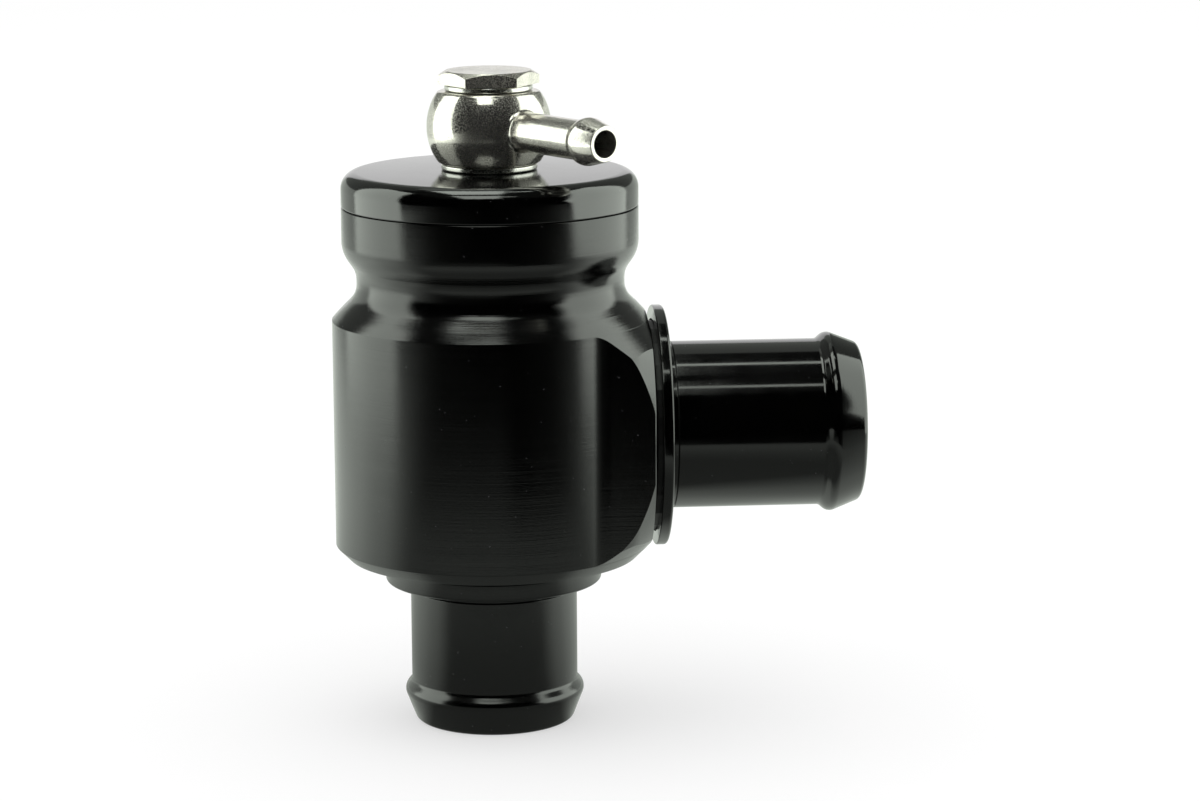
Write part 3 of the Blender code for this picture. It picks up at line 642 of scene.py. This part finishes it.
def make_fitting():
    pivot = empty("banjo_pivot_place", (0, 0, BALL_CENTRE * MM), (0, 0, NIPPLE_TURN), axis)
    half = BALL_HALF_HEIGHT
    flat_angle = asin(half / BALL_RADIUS)
    round_end = flat_angle - 0.15
    rim = BALL_RADIUS * cos(flat_angle)
    ball = [(rim, half, BALL_RIM_ROUNDING)]
    for step in range(BALL_STEPS + 1):
        angle = round_end - 2 * round_end * step / BALL_STEPS
        ball.append((BALL_RADIUS * cos(angle), BALL_RADIUS * sin(angle), 0))
    ball.append((rim, -half, BALL_RIM_ROUNDING))
    eye = [
        (BOLT_HOLE, -half, 0),
        (BOLT_HOLE, -EYE_GROOVE_HALF, 0),
        (EYE_GROOVE_RADIUS, -EYE_GROOVE_HALF, 0),
        (EYE_GROOVE_RADIUS, EYE_GROOVE_HALF, 0),
        (BOLT_HOLE, EYE_GROOVE_HALF, 0),
        (BOLT_HOLE, half, 0),
    ]
    fitting = turned("banjo_eye", rounded(ball + eye), SIDES, pivot)
    lying = empty("nipple_axis", (0, 0, 0), (0, pi / 2, 0), pivot)
    nipple_outline = rounded(
        [
            (0, 28.0, 0),
            (2.6, 28.0, 0.15),
            (3.6, 24.0, 2.4),
            (2.9, 22.5, 0.05),
            (2.9, 8.72, 1.1),
            (5.2, 7.5, 0),
            (0, 7.5, 0),
        ]
    )
    combine(fitting, turned("nipple_tool", nipple_outline, BORE_SIDES, lying), "UNION")
    drill = rod("nipple_drill_tool", CROSS_DRILL, BOLT_HOLE, 33.0, BORE_SIDES, lying)
    combine(fitting, drill, "DIFFERENCE")
    finish(fitting, nickel_look)
    return fitting


body = make_body()
inlet, outlet = make_tails()
cap = make_cap()
lower_washer = make_washer("lower_washer", 7.1, 83.5)
upper_washer = make_washer("upper_washer", 6.5, 95.15)
bolt = make_bolt()
fitting = make_fitting()

HELPERS = ("axis_place", "port_axis", "outlet_axis", "banjo_pivot_place", "nipple_axis")
for obj in [item for item in scene.objects if item.type == "EMPTY" and item.name in HELPERS]:
    bpy.data.objects.remove(obj, do_unlink=True)

for piece, node_name in (
    (body, "valve_body"),
    (inlet, "inlet_hose_tail"),
    (outlet, "outlet_hose_tail"),
    (cap, "cap"),
    (lower_washer, "banjo_lower_washer"),
    (upper_washer, "banjo_upper_washer"),
    (bolt, "banjo_bolt"),
):
    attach(piece, "valve")
    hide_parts(node_name)
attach(fitting, "banjo")
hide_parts("banjo_fitting")


# setting: floor, reflection cards, light and the photograph's camera

FLOOR_SHADE = 0.96
FLOOR_LIFT = 0.5
CARD_TINT = (0.93, 1.0, 0.91, 1)
STRIP_HEIGHT = 700
HALF_ROOM = 640
ROOM_HEIGHT = 900
ROOM_BACK = 560


def floor_look():
    """A white floor that camera rays see lifted halfway to a plain white glow."""
    made, nodes, links = new_material("floor_white")
    shader = nodes["Principled BSDF"]
    local = nodes.new("ShaderNodeTexCoord").outputs["Object"]
    patch = noise(nodes, links, local, 6, 3.0)
    tone = ramp(nodes, links, patch, 0.3, 0.7, FLOOR_SHADE * 0.99, FLOOR_SHADE)
    colour = nodes.new("ShaderNodeCombineColor")
    for index in range(3):
        links.new(tone, colour.inputs[index])
    links.new(colour.outputs[0], shader.inputs["Base Color"])
    shader.inputs["Roughness"].default_value = 0.9
    shader.inputs["Specular IOR Level"].default_value = 0.0
    lifted = nodes.new("ShaderNodeMixShader")
    seen = nodes.new("ShaderNodeLightPath").outputs["Is Camera Ray"]
    links.new(math_node(nodes, links, "MULTIPLY", seen, FLOOR_LIFT), lifted.inputs[0])
    links.new(shader.outputs[0], lifted.inputs[1])
    links.new(nodes.new("ShaderNodeEmission").outputs[0], lifted.inputs[2])
    links.new(lifted.outputs[0], nodes["Material Output"].inputs["Surface"])
    return made


def glow_look(name, level):
    """An even glow with a slow drift in its level."""
    made, nodes, links = new_material(name)
    nodes.clear()
    local = nodes.new("ShaderNodeTexCoord").outputs["Object"]
    drift = noise(nodes, links, local, 3, 2.0)
    glow = nodes.new("ShaderNodeEmission")
    glow.inputs["Color"].default_value = CARD_TINT
    strength = ramp(nodes, links, drift, 0.3, 0.7, level * 0.96, level * 1.04)
    links.new(strength, glow.inputs["Strength"])
    links.new(glow.outputs[0], nodes.new("ShaderNodeOutputMaterial").inputs["Surface"])
    return made


def plate(name, corners, look):
    mesh = bpy.data.meshes.new(name)
    mesh.from_pydata([Vector(corner) * MM for corner in corners], [], [tuple(range(len(corners)))])
    mesh.materials.append(look)
    return new_object(name, mesh)


def level_plate(left, right, front, back, height):
    return [(left, front, height), (right, front, height), (right, back, height), (left, back, height)]


def wall(start, end, low, high):
    """An upright rectangle above the floor line from start to end."""
    return [(*start, low), (*end, low), (*end, high), (*start, high)]


def strip_with_tab(left, front, back, tab_front, tab_back):
    """An overhead strip with a short tab on its right side."""
    edge, root, tip = 38, 44, 150
    plan = [
        (left, front), (edge, front), (root, tab_front), (tip, tab_front),
        (tip, tab_back), (root, tab_back), (edge, back), (left, back),
    ]
    return [(x, y, STRIP_HEIGHT) for x, y in plan]


def card(name, corners, level):
    """A card that only shows in reflections."""
    obj = plate(name, corners, glow_look(name, level))
    obj.visible_camera = False
    obj.visible_shadow = False
    obj.visible_diffuse = False
    obj.visible_transmission = False
    return obj


GLOW_PEAK = 1.5
TABLE_GLOW = (
    (0.00, 0.00), (0.117, 0.03), (0.178, 0.09), (0.25, 0.28), (0.329, 0.65), (0.422, 1.10),
    (0.526, 1.26), (0.646, 1.45), (0.773, 1.34), (0.915, 1.05), (1.0, 0.95),
)


def table_look():
    """The table as reflections see it: black in front of the valve, bright beside and behind it.

    Close to the valve it is dimmer, a painted shadow of the valve, apart from a faint painted ring of light
    and, to the left, a faint painted spread of light.
    """
    made, nodes, links = new_material("table_glow")
    nodes.clear()
    place = nodes.new("ShaderNodeTexCoord").outputs["Object"]
    flat = along(nodes, links, measured_from(nodes, links, place, AXIS), (1, 1, 0))
    length = nodes.new("ShaderNodeVectorMath")
    length.operation = "LENGTH"
    links.new(flat, length.inputs[0])
    reach = math_node(nodes, links, "MAXIMUM", length.outputs["Value"], 0.001)
    parts = nodes.new("ShaderNodeSeparateXYZ")
    links.new(flat, parts.inputs[0])
    slant = math_node(nodes, links, "DIVIDE", parts.outputs["Y"], reach)
    facing = ramp(nodes, links, slant, -1.0, 1.0, 0.0, 1.0)

    glow_ramp = nodes.new("ShaderNodeValToRGB")
    stops = glow_ramp.color_ramp.elements
    while len(stops) > 1:
        stops.remove(stops[-1])
    for index, (position, level) in enumerate(TABLE_GLOW):
        stop = stops[0] if index == 0 else stops.new(position)
        stop.position = position
        stop.color = (*[level / GLOW_PEAK] * 3, 1)
    links.new(facing, glow_ramp.inputs["Fac"])
    far = math_node(nodes, links, "MULTIPLY", glow_ramp.outputs["Color"], GLOW_PEAK)
    # painted shadow: the far glow is halved close to the valve, standing in for the valve shading the table
    painted_valve_shadow = ramp(nodes, links, reach, 0.045, 0.16, 0.5, 1.0)
    strength = math_node(nodes, links, "MULTIPLY", far, painted_valve_shadow)

    close = ramp(nodes, links, reach, 0.07, 0.12, 0.17, 0.34)
    close_end = ramp(nodes, links, reach, 0.145, 0.16, 1.0, 0.0)
    close = math_node(nodes, links, "MULTIPLY", close, close_end)
    spread = ramp(nodes, links, reach, 0.14, 0.31, 0.15, 0.0)
    spread_end = ramp(nodes, links, parts.outputs["X"], 0.01, 0.05, 1.0, 0.0)
    spread = math_node(nodes, links, "MULTIPLY", spread, spread_end)
    faint = math_node(nodes, links, "MAXIMUM", close, spread)
    strength = math_node(nodes, links, "MAXIMUM", strength, faint)

    glow = nodes.new("ShaderNodeEmission")
    glow.inputs["Color"].default_value = CARD_TINT
    links.new(strength, glow.inputs["Strength"])
    links.new(glow.outputs[0], nodes.new("ShaderNodeOutputMaterial").inputs["Surface"])
    return made


floor = plate("floor", level_plate(-3000, 3000, -3000, 3000, 0), floor_look())
floor.visible_glossy = False

card("front_card", wall((-HALF_ROOM, -HALF_ROOM), (HALF_ROOM, -HALF_ROOM), -5, ROOM_HEIGHT), 0.0)
card("roof_card", level_plate(-HALF_ROOM, HALF_ROOM, -HALF_ROOM, ROOM_BACK, ROOM_HEIGHT), 0.03)
card("back_high_card", wall((-HALF_ROOM, ROOM_BACK), (HALF_ROOM, ROOM_BACK), 300, ROOM_HEIGHT), 0.3)
for side, name in ((-1, "left"), (1, "right")):
    beside = side * HALF_ROOM
    card(f"{name}_front_card", wall((beside, -HALF_ROOM), (beside, 300), -5, ROOM_HEIGHT), 0.0)
for side, name in ((-1, "left"), (1, "right")):
    near, far = (side * 301, 215), (side * 150, 558)
    card(f"{name}_rear_card", wall(near, far, 150, STRIP_HEIGHT), 0.17)
    card(f"{name}_rear_low_card", wall(near, far, 0, 150), 0.7)

LEFT_SOFT = ((-96, 0), (215, 0), (215, 450), (11, 450), (-60, 220))
RIGHT_SOFT = ((-153, 0), (215, 0), (215, 515), (-9, 515), (-215, 140))
card("left_soft_card", [(-300, y, z) for y, z in LEFT_SOFT], 2.2)
card("right_soft_card", [(300, y, z) for y, z in RIGHT_SOFT], 2.2)
card("front_strip", strip_with_tab(-279, -529, -215, -371, -325), 2.3)
card("middle_strip", strip_with_tab(-225, -109, 232, 87, 133), 2.8)
card("gap_strip", level_plate(-225, 60, 232, 346, STRIP_HEIGHT), 0.3)
card("back_strip", level_plate(-260, 60, 346, 555, STRIP_HEIGHT), 0.5)
table = card("table_card", level_plate(-1500, 1500, -HALF_ROOM, 3000, -0.5), 0.3)
table.data.materials.clear()
table.data.materials.append(table_look())

world = bpy.data.worlds.new("studio")
scene.world = world
world.use_nodes = True
world.node_tree.nodes["Background"].inputs["Color"].default_value = (1, 1, 1, 1)
world.node_tree.nodes["Background"].inputs["Strength"].default_value = 1.0

BOX_SIDE = 1500
light = bpy.data.lights.new("top_box", "AREA")
light.shape = "RECTANGLE"
light.size = BOX_SIDE * MM
light.size_y = BOX_SIDE * MM
light.energy = 2.5
top_box = new_object("top_box", light)
top_box.location = Vector((-10, -40, ROOM_HEIGHT)) * MM
top_box.rotation_euler = Vector((0, 0, -ROOM_HEIGHT)).to_track_quat("-Z", "Y").to_euler()
top_box.visible_glossy = False

CAMERA_PLACE = (-43.26, -549.371, 155.86)
camera_data = bpy.data.cameras.new("photo_camera")
camera_data.lens = 112.67
camera_data.sensor_width = 36
camera_data.sensor_fit = "HORIZONTAL"
camera_data.clip_start = 0.01
camera_data.clip_end = 20
camera = new_object("photo_camera", camera_data)
yaw = radians(4.548)
pitch = radians(11.042)
roll = radians(-0.309)
right = Vector((cos(yaw), -sin(yaw), 0))
forward = Vector((sin(yaw) * cos(pitch), cos(yaw) * cos(pitch), -sin(pitch)))
up = right.cross(forward)
camera_right = cos(roll) * right + sin(roll) * up
camera_up = -sin(roll) * right + cos(roll) * up
turn = Matrix((camera_right, camera_up, -forward)).transposed()
camera.matrix_world = Matrix.Translation(Vector(CAMERA_PLACE) * MM) @ turn.to_4x4()
scene.camera = camera
scene.view_settings.view_transform = "Standard"
